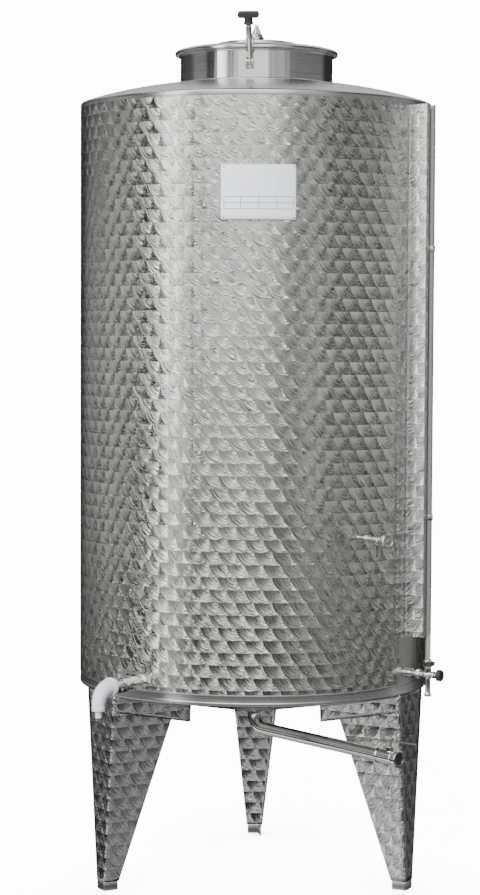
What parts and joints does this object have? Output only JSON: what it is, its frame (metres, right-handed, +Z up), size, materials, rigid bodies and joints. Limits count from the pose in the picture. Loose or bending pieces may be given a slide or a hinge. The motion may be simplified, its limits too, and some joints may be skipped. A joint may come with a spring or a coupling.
{
  "type": "vertical storage tank",
  "caption": "Upright stainless steel storage tank on folded sheet legs, with a hinged manhole, level gauge, sample tap and drain valves.",
  "frame": {"origin": "on the floor, under the middle of the bounding box", "axes": "+Z up along the tank, the front with the name plate looks along -Y, and +X is to its right"},
  "size_m": [0.9438, 0.9716, 2.2397],
  "materials": {
    "swirled_steel": "stainless steel sheet with overlapping round swirl marks",
    "brushed_steel": "finely brushed stainless steel",
    "polished_steel": "polished stainless steel",
    "black_plastic": "black moulded plastic",
    "white_plastic": "smooth white moulded plastic",
    "white_rubber": "white food-grade rubber",
    "clear_tube": "clear sight tube",
    "plate_aluminium": "bare pale plate"
  },
  "bodies": {
    "tank": {"shell_front": "swirled_steel", "shell_right": "swirled_steel", "shell_back": "swirled_steel", "shell_left": "swirled_steel", "gauge_guard_near": "swirled_steel", "gauge_guard_far": "swirled_steel", "leg_right": "swirled_steel", "leg_left": "swirled_steel", "leg_back": "swirled_steel", "top_head": "brushed_steel", "bottom_head": "brushed_steel", "foot_right": "brushed_steel", "foot_left": "brushed_steel", "foot_back": "brushed_steel", "manhole_neck": "polished_steel", "hinge_bracket": "polished_steel", "hinge_pin": "polished_steel", "clamp_ears": "polished_steel", "clamp_pin": "polished_steel", "gauge_clip_lower": "polished_steel", "gauge_clip_upper": "polished_steel", "gauge_valve_body": "polished_steel", "gauge_tube_nut": "polished_steel", "sample_tap_boss": "polished_steel", "sample_tap_body": "polished_steel", "drain_nipple": "polished_steel", "drain_valve_body": "polished_steel", "total_drain_pipe": "polished_steel", "total_drain_valve": "polished_steel", "total_drain_plug": "black_plastic", "drain_elbow": "white_plastic", "gauge_tube": "clear_tube", "name_plate": "plate_aluminium"},
    "manhole_lid": {"lid": "brushed_steel", "lid_gasket": "white_rubber", "lid_lug": "polished_steel", "hinge_strap": "polished_steel", "vent_seat": "polished_steel", "vent_cap": "polished_steel"},
    "clamp_bolt": {"swing_bolt": "polished_steel", "clamp_knob": "black_plastic"},
    "partial_drain_lever": {"drain_lever": "polished_steel"},
    "total_lever": {"total_drain_lever": "polished_steel"},
    "sample_knob": {"sample_tap_knob": "polished_steel"},
    "gauge_knob": {"gauge_valve_knob": "black_plastic"}
  },
  "joints": [
    {"name": "lid_hinge", "type": "hinge", "parent": "tank", "child": "manhole_lid", "pos_m": [-0.01194, 0.25576, 2.152], "axis": [-1, 0, 0], "range_deg": [0, 100]},
    {"name": "clamp_pivot", "type": "hinge", "parent": "tank", "child": "clamp_bolt", "pos_m": [-0.03013, -0.1955, 2.118], "axis": [0.9966, -0.0819, 0], "range_deg": [-20, 85]},
    {"name": "partial_drain_turn", "type": "hinge", "parent": "tank", "child": "partial_drain_lever", "pos_m": [-0.34249, -0.40504, 0.5965], "axis": [0, 0, -1], "range_deg": [0, 90]},
    {"name": "total_drain_turn", "type": "hinge", "parent": "tank", "child": "total_lever", "pos_m": [0.32942, -0.3156, 0.40016], "axis": [-0.0247, 0.0247, -0.9994], "range_deg": [0, 90]},
    {"name": "sample_knob_turn", "type": "hinge", "parent": "tank", "child": "sample_knob", "pos_m": [0.30768, -0.4393, 0.927], "axis": [0.5664, -0.8241, 0], "range_deg": [0, 270]},
    {"name": "gauge_knob_turn", "type": "hinge", "parent": "tank", "child": "gauge_knob", "pos_m": [0.4524, -0.2505, 0.568], "axis": [0.8594, -0.5113, 0], "range_deg": [0, 270]}
  ]
}
